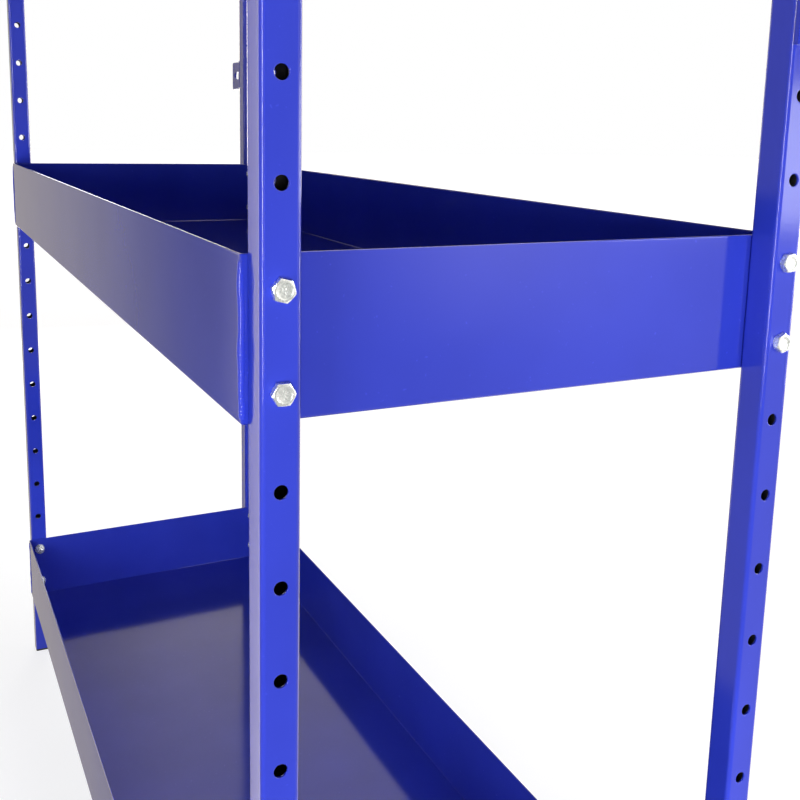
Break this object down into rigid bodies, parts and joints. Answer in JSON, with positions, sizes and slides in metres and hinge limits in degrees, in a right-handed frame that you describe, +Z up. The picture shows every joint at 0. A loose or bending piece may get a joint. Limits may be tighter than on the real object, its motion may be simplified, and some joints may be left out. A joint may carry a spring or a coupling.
{
  "type": "tray rack",
  "caption": "Free-standing four-post rack of punched square tube with deep folded sheet-steel trays bolted between the posts and slotted wall brackets at the back.",
  "frame": {"origin": "on the floor, in the middle of the rack", "axes": "+X along the trays to the right as seen from the front, +Y from the front to the back where the wall brackets are, +Z up"},
  "size_m": [1.52, 0.4266, 1.6],
  "materials": {
    "powder_coat": "glossy blue powder coat",
    "zinc": "bright zinc plate",
    "plug_plastic": "moulded black"
  },
  "bodies": {
    "root": {"post_front_left": "powder_coat", "post_front_right": "powder_coat", "post_back_left": "powder_coat", "post_back_right": "powder_coat", "foot_plug_front_left": "plug_plastic", "foot_plug_front_right": "plug_plastic", "foot_plug_back_left": "plug_plastic", "foot_plug_back_right": "plug_plastic", "top_plug_front_left": "plug_plastic", "top_plug_front_right": "plug_plastic", "top_plug_back_left": "plug_plastic", "top_plug_back_right": "plug_plastic", "tray_bottom_floor": "powder_coat", "tray_bottom_front_wall": "powder_coat", "tray_bottom_back_wall": "powder_coat", "tray_bottom_left_wall": "powder_coat", "tray_bottom_right_wall": "powder_coat", "tray_middle_floor": "powder_coat", "tray_middle_front_wall": "powder_coat", "tray_middle_back_wall": "powder_coat", "tray_middle_left_wall": "powder_coat", "tray_middle_right_wall": "powder_coat", "tray_top_floor": "powder_coat", "tray_top_front_wall": "powder_coat", "tray_top_back_wall": "powder_coat", "tray_top_left_wall": "powder_coat", "tray_top_right_wall": "powder_coat", "corner_welds_bottom": "powder_coat", "corner_welds_middle": "powder_coat", "corner_welds_top": "powder_coat", "bolts_bottom": "zinc", "bolts_middle": "zinc", "bolts_top": "zinc", "washers_bottom": "zinc", "washers_middle": "zinc", "washers_top": "zinc", "nuts_bottom": "zinc", "nuts_middle": "zinc", "nuts_top": "zinc", "bracket_ear_left": "powder_coat", "bracket_ear_right": "powder_coat", "bracket_arm_left": "powder_coat", "bracket_arm_right": "powder_coat", "bracket_welds_left": "powder_coat", "bracket_welds_right": "powder_coat"}
  },
  "joints": []
}
